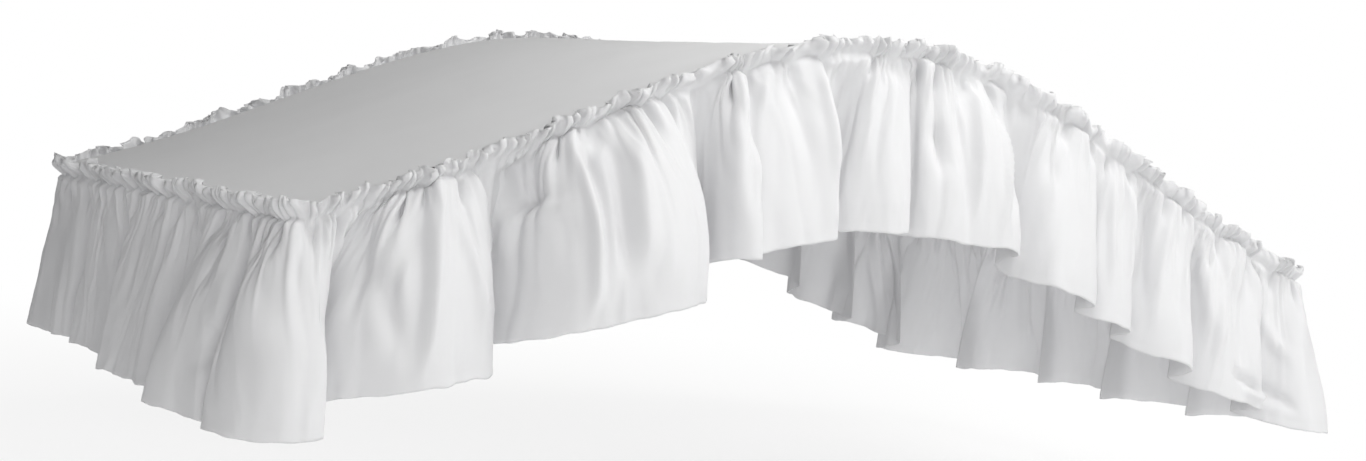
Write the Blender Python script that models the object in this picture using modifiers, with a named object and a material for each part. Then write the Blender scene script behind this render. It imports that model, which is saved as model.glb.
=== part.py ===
"""A ruffled top cover for an arched canopy bed: a deck panel over the arch and a gathered ruffle round it.

The origin is under the middle of the arch's crest, where a canopy frame holds the cover up.
+X runs along the bed, +Z is up, and the front side faces -Y.
"""

import math
from collections import namedtuple

import bmesh
import bpy

# Driving sizes in metres
COVER_LENGTH = 2.000
COVER_WIDTH = 1.040
ARCH_RISE = 0.322
OGEE_SHARE = 0.57
CORNER_RADIUS = 0.030
DECK_CORNER_RADIUS = 0.042
DECK_CORNER_SEGMENTS = 5
DECK_RIM_RADIUS = 0.004
DECK_RIM_SEGMENTS = 2
DECK_RIM_ANGLE = math.radians(50)
CLOTH_THICKNESS = 0.002
SEAM_GAP = 0.0004
SEAM_DEPTH = 0.018
HEADING_HEIGHT = 0.024
RUFFLE_DROP = 0.281
STRIP_GAP = 0.0006
STRIP_GAP_AT_HEM = 0.0040
STRIP_END_COLUMNS = 5

# How the deck and the ruffles are divided
DECK_STATIONS = 40
COLUMN_SPACING = 0.029
CORNER_COLUMN_SPACING = 0.017
DROP_ROWS = (0.0, 0.09, 0.25, 0.46, 0.72, 1.0)

# How the cloth hangs
STEEPNESS = 0.15
BILLOW_POWER = 1.0
GATHER_EVENNESS = 0.5
TUCK_SHARE = 0.06
DRAW_UP_SHARE = 0.20
SUBFOLD_HEIGHT = 0.009
SUBFOLDS_A_METRE = 10.0
SUBFOLD_SHIFT = 1.9
GATHER_HEIGHT = 0.006
GATHER_FADE = 0.30
FRILL_LEAN = 0.004
FRILL_WAVE = 0.009
FRILL_UNEVEN = 0.004
FRILL_SHAPE_STEP = 1.4
GATHER_SHAPE_STEP = 0.9
GATHER_UNEVENNESS = 0.5
COLUMNS_PER_FRILL_WAVE = 4
FEWEST_COLUMNS = 4
HEM_STEPS = 60

WHITE_COTTON = (0.82, 0.82, 0.83, 1.0)
COTTON_ROUGHNESS = 0.85

# One row for each valley between two billows, in order round the cover from the front left corner.
# hem and top are the valley's place along its side, x on the long sides and y on the ends.
# tuck is how much of the seam is gathered into the valley alone.
# inset is how far out the valley stands at the hem, less than 0 where it tucks in under the deck.
# bulge is how far out the billow after the valley reaches at the hem.
# belly is how soon it gets there, from 1 for a straight slope, and sag is how much lower its hem hangs.
Fold = namedtuple("Fold", "side hem top tuck inset bulge belly sag")
FOLDS = (
    Fold("front", -0.960, -0.905, 0.060, -0.060, 0.090, 2.4, 0.000),
    Fold("front", -0.685, -0.690, 0.085, -0.055, 0.145, 2.4, 0.012),
    Fold("front", -0.352, -0.375, 0.090, -0.035, 0.105, 1.8, 0.002),
    Fold("front", -0.288, -0.300, 0.010, 0.050, 0.065, 1.8, 0.000),
    Fold("front", -0.112, -0.095, 0.060, -0.030, 0.075, 1.6, 0.000),
    Fold("front", 0.022, 0.020, 0.010, -0.025, 0.075, 1.6, 0.003),
    Fold("front", 0.280, 0.260, 0.110, -0.035, 0.085, 1.6, 0.004),
    Fold("front", 0.445, 0.460, 0.030, -0.005, 0.060, 1.4, 0.000),
    Fold("front", 0.555, 0.570, 0.030, -0.025, 0.070, 1.4, 0.000),
    Fold("front", 0.700, 0.725, 0.020, -0.015, 0.080, 1.6, 0.004),
    Fold("front", 0.890, 0.880, 0.030, -0.030, 0.092, 1.4, 0.000),
    Fold("right", -0.300, -0.330, 0.030, -0.020, 0.080, 1.8, 0.004),
    Fold("right", -0.090, -0.110, 0.020, -0.045, 0.075, 1.8, 0.000),
    Fold("right", 0.130, 0.140, 0.030, -0.010, 0.085, 1.6, 0.003),
    Fold("right", 0.360, 0.340, 0.030, -0.040, 0.090, 1.4, 0.006),
    Fold("back", 0.880, 0.880, 0.060, -0.055, 0.070, 1.6, 0.000),
    Fold("back", 0.745, 0.755, 0.030, -0.045, 0.065, 1.8, 0.004),
    Fold("back", 0.605, 0.600, 0.050, -0.030, 0.070, 1.8, 0.000),
    Fold("back", 0.480, 0.470, 0.020, -0.040, 0.080, 1.8, 0.003),
    Fold("back", 0.235, 0.250, 0.040, -0.030, 0.090, 2.0, 0.000),
    Fold("back", 0.010, 0.020, 0.020, -0.025, 0.075, 1.8, 0.004),
    Fold("back", -0.215, -0.200, 0.050, -0.040, 0.090, 2.0, 0.000),
    Fold("back", -0.440, -0.450, 0.030, -0.020, 0.085, 1.8, 0.005),
    Fold("back", -0.675, -0.660, 0.060, -0.040, 0.080, 1.8, 0.000),
    Fold("back", -0.900, -0.890, 0.030, -0.030, 0.040, 1.2, -0.012),
    Fold("left", 0.340, 0.330, 0.020, -0.020, 0.035, 1.6, -0.010),
    Fold("left", 0.110, 0.140, 0.030, -0.025, 0.078, 1.6, -0.004),
    Fold("left", -0.235, -0.190, 0.040, -0.005, 0.115, 1.6, 0.002),
    Fold("left", -0.470, -0.400, 0.020, 0.055, 0.112, 1.5, 0.012),
)

# Where one column of cloth hangs from, and where and how its hem ends up
Column = namedtuple("Column", "top hem offset belly sag")

# The strips meet in a valley near each corner, so that each corner's billow is whole.
# first and last count the valleys in the table above.
Strip = namedtuple("Strip", "name first last")
STRIPS = (
    Strip("ruffle_front", 0, 11),
    Strip("ruffle_right", 11, 15),
    Strip("ruffle_back", 15, 25),
    Strip("ruffle_left", 25, 29),
)

STRAIGHT_LENGTH = COVER_LENGTH - 2 * CORNER_RADIUS
STRAIGHT_WIDTH = COVER_WIDTH - 2 * CORNER_RADIUS
QUARTER_TURN = CORNER_RADIUS * math.pi / 2
LOOP_LENGTH = 2 * STRAIGHT_LENGTH + 2 * STRAIGHT_WIDTH + 4 * QUARTER_TURN

# Each side of the loop: where its straight run starts, its direction, and its length
Side = namedtuple("Side", "name start_x start_y angle length")
HALF_LENGTH = COVER_LENGTH / 2
HALF_WIDTH = COVER_WIDTH / 2
SIDES = (
    Side("front", -HALF_LENGTH + CORNER_RADIUS, -HALF_WIDTH, 0.0, STRAIGHT_LENGTH),
    Side("right", HALF_LENGTH, -HALF_WIDTH + CORNER_RADIUS, 90.0, STRAIGHT_WIDTH),
    Side("back", HALF_LENGTH - CORNER_RADIUS, HALF_WIDTH, 180.0, STRAIGHT_LENGTH),
    Side("left", -HALF_LENGTH, HALF_WIDTH - CORNER_RADIUS, 270.0, STRAIGHT_WIDTH),
)


def arch_height(x):
    """Height of the deck's underside, 0 at the crest: an ogee blended with a parabola."""
    share = min(1.0, abs(x) / HALF_LENGTH)
    ogee = 0.5 * (1 + math.cos(math.pi * share))
    parabola = 1 - share * share
    return ARCH_RISE * (OGEE_SHARE * ogee + (1 - OGEE_SHARE) * parabola - 1)


def loop_point(position):
    """Place and heading angle on the rounded rectangle that the ruffle is sewn along."""
    left = position % LOOP_LENGTH
    for side in SIDES:
        angle = math.radians(side.angle)
        if left <= side.length:
            return (
                side.start_x + left * math.cos(angle),
                side.start_y + left * math.sin(angle),
                angle,
            )
        left -= side.length
        if left <= QUARTER_TURN:
            turn = left / CORNER_RADIUS
            centre_x = side.start_x + side.length * math.cos(angle) - CORNER_RADIUS * math.sin(angle)
            centre_y = side.start_y + side.length * math.sin(angle) + CORNER_RADIUS * math.cos(angle)
            return (
                centre_x + CORNER_RADIUS * math.sin(angle + turn),
                centre_y - CORNER_RADIUS * math.cos(angle + turn),
                angle + turn,
            )
        left -= QUARTER_TURN
    return loop_point(0.0)


def loop_position(side_name, coordinate):
    """Distance along the loop of a place given as x or y on a side."""
    distance = 0.0
    for side in SIDES:
        if side.name == side_name:
            start = side.start_x if side_name in ("front", "back") else side.start_y
            return distance + abs(coordinate - start)
        distance += side.length + QUARTER_TURN
    raise ValueError(side_name)


def blend(a, b, share):
    return a + (b - a) * share


def unevenness(value):
    """A smooth wander between about -1 and 1, from waves whose lengths share no multiple."""
    return 0.5 * math.sin(1.7 * value) + 0.3 * math.sin(3.9 * value + 1.3) + 0.2 * math.sin(7.3 * value + 4.1)


def fold_at(index):
    """A valley's row, with its hem and top as distances along the loop, counted on past the start."""
    fold = FOLDS[index % len(FOLDS)]
    lap = LOOP_LENGTH * math.floor(index / len(FOLDS))
    hem = loop_position(fold.side, fold.hem) + lap
    top = loop_position(fold.side, fold.top) + lap
    return fold._replace(hem=hem, top=top)


def hem_place(index, share):
    """Where the hem runs between two valleys: its distance along the loop and how far out it stands."""
    start = fold_at(index)
    end = fold_at(index + 1)
    width = end.hem - start.hem
    floor = blend(start.inset, end.inset, share)
    swell = math.sin(math.pi * share) ** BILLOW_POWER if 0 < share < 1 else 0.0
    turn = 2 * math.pi * SUBFOLDS_A_METRE * width * share + SUBFOLD_SHIFT * index
    ripple = math.sin(math.pi * share) * math.sin(turn)
    hem = blend(start.hem, end.hem, share) - STEEPNESS * width * math.sin(2 * math.pi * share)
    return hem, floor + (start.bulge - floor) * swell + SUBFOLD_HEIGHT * ripple


def hem_lengths(index):
    """Length of hem from a valley to each of HEM_STEPS places in the billow after it."""
    lengths = [0.0]
    before = None
    for step in range(HEM_STEPS + 1):
        hem, offset = hem_place(index, step / HEM_STEPS)
        x, y, _ = cloth_place(hem, offset, 0.0)
        if before:
            lengths.append(lengths[-1] + math.hypot(x - before[0], y - before[1]))
        before = (x, y)
    return lengths


def billow_columns(index):
    """A billow's columns, evenly spaced along both its hem and its gathers."""
    lengths = hem_lengths(index)
    turns = FOLDS[index % len(FOLDS)].side != FOLDS[(index + 1) % len(FOLDS)].side
    count = max(FEWEST_COLUMNS, round(lengths[-1] / (CORNER_COLUMN_SPACING if turns else COLUMN_SPACING)))
    start = fold_at(index)
    end = fold_at(index + 1)
    before = fold_at(index - 1)
    columns = []
    step = 0
    for number in range(count):
        wanted = lengths[-1] * number / count
        while lengths[step + 1] < wanted:
            step += 1
        share = (step + (wanted - lengths[step]) / (lengths[step + 1] - lengths[step])) / HEM_STEPS
        hem, offset = hem_place(index, share)
        along = blend((hem - start.hem) / (end.hem - start.hem), number / count, GATHER_EVENNESS)
        top = blend(start.top + start.tuck / 2, end.top - end.tuck / 2, along)
        top -= start.tuck / 2 * math.exp(-share / TUCK_SHARE)
        top += end.tuck / 2 * math.exp((share - 1) / TUCK_SHARE)
        edge = 0.5 * (1 - math.sin(math.pi * share))
        neighbour = before if share < 0.5 else end
        columns.append(
            Column(
                top=top,
                hem=hem,
                offset=offset,
                belly=blend(start.belly, neighbour.belly, edge),
                sag=blend(start.sag, neighbour.sag, edge),
            )
        )
    return columns


def strip_columns(strip):
    """Every column of a strip, with the valley at its far end."""
    columns = []
    for index in range(strip.first, strip.last):
        columns += billow_columns(index)
    return columns + billow_columns(strip.last)[:1]


def cloth_place(position, offset, height):
    """A point that stands out from the loop by an offset, at a height."""
    x, y, angle = loop_point(position)
    return (x + offset * math.sin(angle), y - offset * math.cos(angle), height)


def end_share(number):
    """How much a column takes part in the gap at a strip's end, from 1 at the end down to 0."""
    return max(0.0, 1 - number / STRIP_END_COLUMNS)


def hanging_points(number, count, column):
    """The points of one column, from the frill's edge down to the hem."""
    waves = round(count / COLUMNS_PER_FRILL_WAVE)
    wave = math.sin(2 * math.pi * waves * number / count)
    pull = 0.5 * (end_share(number) - end_share(count - number))
    loose = 1 + GATHER_UNEVENNESS * unevenness(GATHER_SHAPE_STEP * number)
    seam_offset = SEAM_GAP + CLOTH_THICKNESS / 2
    x, _, _ = loop_point(column.top)
    seam_height = arch_height(x) + CLOTH_THICKNESS - SEAM_DEPTH
    frill_offset = seam_offset + FRILL_LEAN + FRILL_WAVE * loose * 0.5 * (1 + wave)
    frill_height = seam_height + HEADING_HEIGHT + FRILL_UNEVEN * unevenness(FRILL_SHAPE_STEP * number)
    points = [cloth_place(column.top + pull * STRIP_GAP, frill_offset, frill_height)]
    draw_up = DRAW_UP_SHARE * column.offset * column.offset / RUFFLE_DROP
    for drop in DROP_ROWS:
        flare = 1 - (1 - drop) ** column.belly
        gather = GATHER_HEIGHT * loose * wave * math.sin(math.pi * min(1.0, drop / GATHER_FADE))
        offset = blend(seam_offset, column.offset, flare) + gather
        height = seam_height - drop * (RUFFLE_DROP - draw_up + column.sag)
        gap = blend(STRIP_GAP, STRIP_GAP_AT_HEM, math.sqrt(flare))
        along = blend(column.top, column.hem, flare) + pull * gap
        points.append(cloth_place(along, offset, height))
    return points


def cotton(name):
    material = bpy.data.materials.new(name)
    material.use_nodes = True
    shader = material.node_tree.nodes["Principled BSDF"]
    shader.inputs["Base Color"].default_value = WHITE_COTTON
    shader.inputs["Roughness"].default_value = COTTON_ROUGHNESS
    shader.inputs["Metallic"].default_value = 0.0
    return material


def add_cloth(name, mesh, collection, parent, offset):
    """Put a cloth surface in the scene with its thickness."""
    piece = bpy.data.objects.new(name, mesh)
    collection.objects.link(piece)
    piece.parent = parent
    mesh.materials.append(cotton(name + "_cotton"))
    mesh.shade_smooth()
    cloth = piece.modifiers.new("cloth thickness", "SOLIDIFY")
    cloth.thickness = CLOTH_THICKNESS
    cloth.offset = offset
    return piece


def make_deck(collection, parent):
    """The deck panel: a grid bent over the arch, its edge turned down to the seam."""
    mesh = bpy.data.meshes.new("deck")
    shape = bmesh.new()
    bmesh.ops.create_grid(shape, x_segments=DECK_STATIONS, y_segments=1, size=1.0)
    for vertex in shape.verts:
        vertex.co.x *= HALF_LENGTH
        vertex.co.y *= HALF_WIDTH
    rim = [edge for edge in shape.edges if edge.is_boundary]
    turned = bmesh.ops.extrude_edge_only(shape, edges=rim)["geom"]
    for vertex in (item for item in turned if isinstance(item, bmesh.types.BMVert)):
        vertex.co.z -= SEAM_DEPTH
    corners = [edge for edge in shape.edges if is_corner_edge(edge)]
    bmesh.ops.bevel(
        shape,
        geom=corners,
        offset=DECK_CORNER_RADIUS,
        segments=DECK_CORNER_SEGMENTS,
        profile=0.5,
        affect="EDGES",
    )
    for vertex in shape.verts:
        vertex.co.z += arch_height(vertex.co.x) + CLOTH_THICKNESS
    bmesh.ops.recalc_face_normals(shape, faces=shape.faces)
    shape.to_mesh(mesh)
    shape.free()
    deck = add_cloth("deck", mesh, collection, parent, offset=-1.0)
    rim_fold = deck.modifiers.new("rim fold", "BEVEL")
    rim_fold.width = DECK_RIM_RADIUS
    rim_fold.segments = DECK_RIM_SEGMENTS
    rim_fold.limit_method = "ANGLE"
    rim_fold.angle_limit = DECK_RIM_ANGLE
    deck.modifiers.move(deck.modifiers.find("rim fold"), 0)


def is_corner_edge(edge):
    """Whether an edge is one of the four upright ones at the deck's corners."""
    low, high = sorted(edge.verts, key=lambda vertex: vertex.co.z)
    upright = high.co.z - low.co.z > SEAM_DEPTH / 2
    at_corner = abs(high.co.x) > HALF_LENGTH - SEAM_GAP and abs(high.co.y) > HALF_WIDTH - SEAM_GAP
    return upright and at_corner


def make_ruffle(strip, collection, parent):
    """One gathered strip: a loft through its columns, which are all unlike, given a thickness."""
    shape = bmesh.new()
    lines = []
    columns = strip_columns(strip)
    for number, column in enumerate(columns):
        points = hanging_points(number, len(columns) - 1, column)
        lines.append([shape.verts.new(point) for point in points])
    for line, following in zip(lines, lines[1:]):
        for row in range(len(line) - 1):
            shape.faces.new((line[row], line[row + 1], following[row + 1], following[row]))
    mesh = bpy.data.meshes.new(strip.name)
    shape.to_mesh(mesh)
    shape.free()
    add_cloth(strip.name, mesh, collection, parent, offset=0.0)


def main():
    for item in list(bpy.data.objects):
        bpy.data.objects.remove(item)
    collection = bpy.data.collections.new("ruffled_canopy_cover")
    bpy.context.scene.collection.children.link(collection)
    canopy_frame_point = bpy.data.objects.new("canopy_frame_point", None)
    collection.objects.link(canopy_frame_point)
    make_deck(collection, canopy_frame_point)
    for strip in STRIPS:
        make_ruffle(strip, collection, canopy_frame_point)


main()
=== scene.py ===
"""A ruffled white cotton cover for an arched canopy bed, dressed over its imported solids.

The cover is five sheets of cloth: a deck panel stretched over the arch, and four gathered strips round it.
+X runs along the bed, +Z is up, and the front side faces -Y. Sizes are in metres.
"""

import math
from collections import namedtuple

import bmesh
import bpy
import numpy as np
from bpy.props import FloatProperty, FloatVectorProperty, IntProperty, PointerProperty
from mathutils import Matrix, Vector


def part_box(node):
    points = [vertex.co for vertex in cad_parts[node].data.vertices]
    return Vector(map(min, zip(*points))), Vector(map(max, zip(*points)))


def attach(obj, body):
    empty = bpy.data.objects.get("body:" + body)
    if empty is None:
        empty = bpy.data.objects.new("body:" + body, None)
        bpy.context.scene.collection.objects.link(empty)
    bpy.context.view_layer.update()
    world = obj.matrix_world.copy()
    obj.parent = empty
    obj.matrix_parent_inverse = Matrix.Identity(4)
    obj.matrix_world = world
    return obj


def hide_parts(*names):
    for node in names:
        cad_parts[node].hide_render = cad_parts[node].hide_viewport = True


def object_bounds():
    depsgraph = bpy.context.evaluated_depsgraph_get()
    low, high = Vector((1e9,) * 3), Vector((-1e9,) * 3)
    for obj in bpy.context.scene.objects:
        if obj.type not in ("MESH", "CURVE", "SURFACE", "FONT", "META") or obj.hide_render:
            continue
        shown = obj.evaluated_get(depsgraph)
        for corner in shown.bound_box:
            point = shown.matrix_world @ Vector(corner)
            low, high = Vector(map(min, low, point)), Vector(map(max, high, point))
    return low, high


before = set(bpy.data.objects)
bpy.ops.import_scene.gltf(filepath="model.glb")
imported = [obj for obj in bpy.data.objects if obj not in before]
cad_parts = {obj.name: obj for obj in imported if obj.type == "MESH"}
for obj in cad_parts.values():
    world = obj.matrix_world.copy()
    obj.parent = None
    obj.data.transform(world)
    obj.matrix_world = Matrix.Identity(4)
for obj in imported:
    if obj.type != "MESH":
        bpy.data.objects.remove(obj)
CAD_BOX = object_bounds()
DECK_LOW, DECK_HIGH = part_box("deck")

bl_info = {
    "name": "Ruffled canopy cover",
    "version": (1, 0, 0),
    "blender": (4, 5, 0),
    "location": "3D View > Sidebar > Canopy cover",
    "description": "Makes the cloth of a ruffled canopy bed cover, its floor, lights and camera",
    "category": "Add Mesh",
}

# The solids' own numbers, which the cloth is laid over
SOLID_THICKNESS = DECK_HIGH.z
SEAM_DEPTH = 0.018
HALF_LENGTH = DECK_HIGH.x
HALF_WIDTH = DECK_HIGH.y
ARCH_RISE = SOLID_THICKNESS - SEAM_DEPTH - DECK_LOW.z
OGEE_SHARE = 0.57
CORNER_RADIUS = 0.030
DECK_CORNER_RADIUS = 0.042
SEAM_OFFSET = 0.0014
STRIP_GAP = 0.0003
STRIP_END_LENGTH = 0.145
STEEPNESS = 0.145
GATHER_EVENNESS = 0.5
TUCK_SHARE = 0.06
DRAW_UP_SHARE = 0.20
SUBFOLD_HEIGHT = 0.009
SUBFOLDS_A_METRE = 10.0
SUBFOLD_SHIFT = 1.9

# One row for each valley between two billows, in order round the cover from the front left corner.
# hem and top are the valley's place along its side, x on the long sides and y on the ends.
# tuck is how much of the seam is gathered into the valley alone.
# inset is how far out the valley stands at the hem, less than 0 where it tucks in under the deck.
# bulge is how far out the billow after the valley reaches at the hem.
# belly is how soon it gets there, from 1 for a straight slope, and sag is how much lower its hem hangs.
Fold = namedtuple("Fold", "side hem top tuck inset bulge belly sag")
FOLD_ROWS = {
    "front": (
        (-0.96, -0.905, 0.06, -0.06, 0.09, 2.4, 0),
        (-0.685, -0.69, 0.085, -0.055, 0.145, 2.4, 0.012),
        (-0.352, -0.375, 0.09, -0.035, 0.105, 1.8, 0.002),
        (-0.288, -0.3, 0.01, 0.05, 0.065, 1.8, 0),
        (-0.112, -0.095, 0.06, -0.03, 0.075, 1.6, 0),
        (0.022, 0.02, 0.01, -0.025, 0.075, 1.6, 0.003),
        (0.28, 0.26, 0.11, -0.035, 0.085, 1.6, 0.004),
        (0.445, 0.46, 0.03, -0.005, 0.06, 1.4, 0),
        (0.555, 0.57, 0.03, -0.025, 0.07, 1.4, 0),
        (0.7, 0.725, 0.02, -0.015, 0.08, 1.6, 0.004),
        (0.89, 0.88, 0.03, -0.03, 0.092, 1.4, 0),
    ),
    "right": (
        (-0.3, -0.33, 0.03, -0.02, 0.08, 1.8, 0.004),
        (-0.09, -0.11, 0.02, -0.045, 0.075, 1.8, 0),
        (0.13, 0.14, 0.03, -0.01, 0.085, 1.6, 0.003),
        (0.36, 0.34, 0.03, -0.04, 0.09, 1.4, 0.006),
    ),
    "back": (
        (0.88, 0.88, 0.06, -0.055, 0.07, 1.6, 0),
        (0.745, 0.755, 0.03, -0.045, 0.065, 1.8, 0.004),
        (0.605, 0.6, 0.05, -0.03, 0.07, 1.8, 0),
        (0.48, 0.47, 0.02, -0.04, 0.08, 1.8, 0.003),
        (0.235, 0.25, 0.04, -0.03, 0.09, 2, 0),
        (0.01, 0.02, 0.02, -0.025, 0.075, 1.8, 0.004),
        (-0.215, -0.2, 0.05, -0.04, 0.09, 2, 0),
        (-0.44, -0.45, 0.03, -0.02, 0.085, 1.8, 0.005),
        (-0.675, -0.66, 0.06, -0.04, 0.08, 1.8, 0),
        (-0.9, -0.89, 0.03, -0.03, 0.04, 1.2, -0.012),
    ),
    "left": (
        (0.34, 0.33, 0.02, -0.02, 0.035, 1.6, -0.01),
        (0.11, 0.14, 0.03, -0.025, 0.078, 1.6, -0.004),
        (-0.235, -0.19, 0.04, -0.005, 0.115, 1.6, 0.002),
        (-0.47, -0.4, 0.02, 0.055, 0.112, 1.5, 0.012),
    ),
}
FOLDS = [Fold(side, *row) for side, rows in FOLD_ROWS.items() for row in rows]

# The strips of the ruffle: the CAD node each stands for, its first and last valley, its columns of faces,
# how strong its soft folds are, how much cloth one bunch at the seam takes, and how fine its gathers are
Strip = namedtuple("Strip", "name node first last columns folds bunch fineness")
STRIPS = (
    Strip("front_ruffle", "ruffle_front", 0, 11, 1050, 1.0, 0.105, 1.0),
    Strip("right_ruffle", "ruffle_right", 11, 15, 500, 2.0, 0.110, 1.0),
    Strip("back_ruffle", "ruffle_back", 15, 25, 1000, 2.3, 0.105, 1.0),
    Strip("left_ruffle", "ruffle_left", 25, 29, 700, 0.9, 0.060, 1.6),
)

# The cloth's unevenness: how long one lump is along the cloth and down it, in metres, and its seed.
# The heading's patterns count down as a share of its height, and a pattern of 1.0 down is read along only.
Pattern = namedtuple("Pattern", "along down seed")
WIDE_DRIFT = Pattern(0.45, 0.50, 3)
SMALL_DRIFT = Pattern(0.13, 0.16, 4)
GATHER_DRIFT = Pattern(0.20, 0.15, 6)
CREASE_DRIFT = Pattern(0.10, 0.10, 9)
LONG_FOLDS = Pattern(0.16, 0.35, 7)
SHORT_FOLDS = Pattern(0.10, 0.20, 8)
CREASE_LINES = Pattern(0.060, 0.23, 10)
CREASE_STRENGTH = Pattern(0.12, 0.10, 13)
CRINKLES = Pattern(0.028, 0.075, 16)
CRUMPLE = Pattern(0.030, 0.070, 11)
FINE_CRUMPLE = Pattern(0.017, 0.035, 12)
HEM_WAVE = Pattern(0.080, 1.0, 41)
FINE_HEM_WAVE = Pattern(0.030, 1.0, 42)
BUNCH_DRIFT = Pattern(0.19, 1.0, 43)
HEADING_BUNCHES = Pattern(0.070, 1.0, 31)
HEADING_FLOPS = Pattern(0.060, 1.0, 32)
HEADING_EDGE = Pattern(0.045, 1.0, 33)
FINE_HEADING_EDGE = Pattern(0.022, 1.0, 34)
HEADING_TWIST = Pattern(0.070, 1.0, 35)
FINE_HEADING_TWIST = Pattern(0.028, 0.7, 37)
HEADING_CRINKLE = Pattern(0.019, 0.6, 36)
GATHER_STRENGTH_SEED = 5
GATHER_REACH_SEED = 2
BUNCH_STRENGTH_SEED = 44

# How far down the drop each kind of fold reaches or starts, in metres
SHORT_GATHER_REACH = 0.022
LONG_GATHER_REACH = 0.150
PUFF_REACH = 0.052
PIT_DROP = 0.018
PIT_REACH = 0.020
CRINKLE_REACH = 0.090
FOLD_START = 0.045

# The deck's puckers along its seam, and the heights of its wide and fine unevenness, in metres
PUCKER_PITCH = 0.031
PUCKER_REACH = 0.030
WIDE_SOFTNESS = 0.0012
FINE_SOFTNESS = 0.0005
SORT_STEP = 0.00001

# The ruffle's own numbers: how much the gathers' pitch changes and over how much cloth, how far they sway,
# a bunch's mean puff and how soon it fades, how far apart the strips read the patterns, how soon folds
# start at a strip's ends and in its valleys, the hem's waves, and the dent where the hem is turned
PACE_SWING = 1.2
PACE_LENGTH = 0.10
SWAY = 0.45
SWAY_LENGTH = 0.085
PUFF_MEAN = 0.45
PUFF_FADE = 0.10
STRIP_SHIFT = 3.7
END_WIDTH = 0.008
VALLEY_FLOOR = 0.004
VALLEY_WIDTH = 0.040
HEM_WAVE_HEIGHT = 0.0045
FINE_HEM_WAVE_HEIGHT = 0.0020
HEM_DENT = 0.0006
HEM_DENT_WIDTH = 0.004

# The grids: steps in a fine line, how much seam counts in spacing columns, and how close rows crowd at the
# seam and the hem
FINE_COUNT = 401
SEAM_WEIGHT = 1.5
ROW_CROWDING = 0.55

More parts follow.
